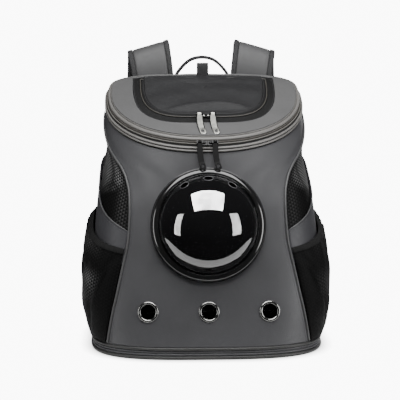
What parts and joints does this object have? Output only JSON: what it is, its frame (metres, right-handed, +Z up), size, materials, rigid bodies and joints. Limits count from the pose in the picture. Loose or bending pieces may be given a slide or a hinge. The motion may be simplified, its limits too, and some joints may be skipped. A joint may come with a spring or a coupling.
{
  "type": "bubble pet carrier backpack",
  "caption": "Soft-sided pet carrier backpack with a clear bubble window, zipped lid with a roll-up hatch, vents, side pockets and padded straps.",
  "frame": {"origin": "on the floor under the middle of the bag, in the base panel's lower face", "axes": "+Z up, -Y towards the front with the bubble window, +X to the right seen from the front"},
  "size_m": [0.3718, 0.336, 0.4411],
  "materials": {
    "leatherette": "satin",
    "lid_leatherette": "satin",
    "piping": "satin",
    "mesh": "matte",
    "nylon": "satin",
    "binding": "matte",
    "zip_tape": "matte",
    "black_plastic": "gloss",
    "clear_plastic": "gloss",
    "black_metal": "satin",
    "silver_metal": "polished",
    "nickel": "polished"
  },
  "bodies": {
    "bag": {"base_panel": "binding", "base_band": "leatherette", "base_piping_lower": "piping", "base_piping_upper": "piping", "front_panel": "leatherette", "front_piping_left": "piping", "front_piping_right": "piping", "side_mesh_left": "mesh", "side_mesh_right": "mesh", "side_band_left": "leatherette", "side_band_right": "leatherette", "pocket_left": "mesh", "pocket_right": "mesh", "pocket_hem_left": "binding", "pocket_hem_right": "binding", "back_panel": "mesh", "lid_band": "leatherette", "rim_piping": "piping", "lid_piping_lower": "piping", "lid_piping_upper": "piping", "lid_zip": "zip_tape", "lid_panel": "lid_leatherette", "window_trim": "binding", "window_panel": "nylon", "bubble_ring": "black_plastic", "eyelet_left": "nickel", "eyelet_centre": "nickel", "eyelet_right": "nickel", "window_slider_left": "black_metal", "window_slider_right": "black_metal", "lid_slider_left": "black_metal", "lid_slider_right": "black_metal", "strap_left": "lid_leatherette", "strap_right": "lid_leatherette", "strap_edge_left_inner": "binding", "strap_edge_left_outer": "binding", "strap_edge_right_inner": "binding", "strap_edge_right_outer": "binding", "buckle_left": "black_plastic", "buckle_right": "black_plastic", "webbing_left": "binding", "webbing_right": "binding", "strap_anchor_left": "binding", "strap_anchor_right": "binding", "carry_handle": "binding", "top_tab": "binding"},
    "dome": {"bubble_dome": "clear_plastic"},
    "window_pull_left": {"window_pull_left": "silver_metal"},
    "window_pull_right": {"window_pull_right": "silver_metal"},
    "lid_pull_left": {"lid_pull_left": "black_metal"},
    "lid_pull_right": {"lid_pull_right": "black_metal"}
  },
  "joints": [
    {"name": "dome_twist", "type": "hinge", "parent": "bag", "child": "dome", "pos_m": [0, -0.09185, 0.186], "axis": [0, -0.9647, 0.2634], "range_deg": [0, 20]},
    {"name": "window_pull_left_swing", "type": "hinge", "parent": "bag", "child": "window_pull_left", "pos_m": [-0.0098, -0.01852, 0.34035], "axis": [-1, 0, 0], "range_deg": [0, 75]},
    {"name": "window_pull_right_swing", "type": "hinge", "parent": "bag", "child": "window_pull_right", "pos_m": [0.0098, -0.01852, 0.34035], "axis": [-1, 0, 0], "range_deg": [0, 75]},
    {"name": "lid_pull_left_swing", "type": "hinge", "parent": "bag", "child": "lid_pull_left", "pos_m": [-0.0112, -0.06879, 0.30415], "axis": [-1, 0, 0], "range_deg": [0, 75]},
    {"name": "lid_pull_right_swing", "type": "hinge", "parent": "bag", "child": "lid_pull_right", "pos_m": [0.0112, -0.06879, 0.30415], "axis": [-1, 0, 0], "range_deg": [0, 75]}
  ]
}
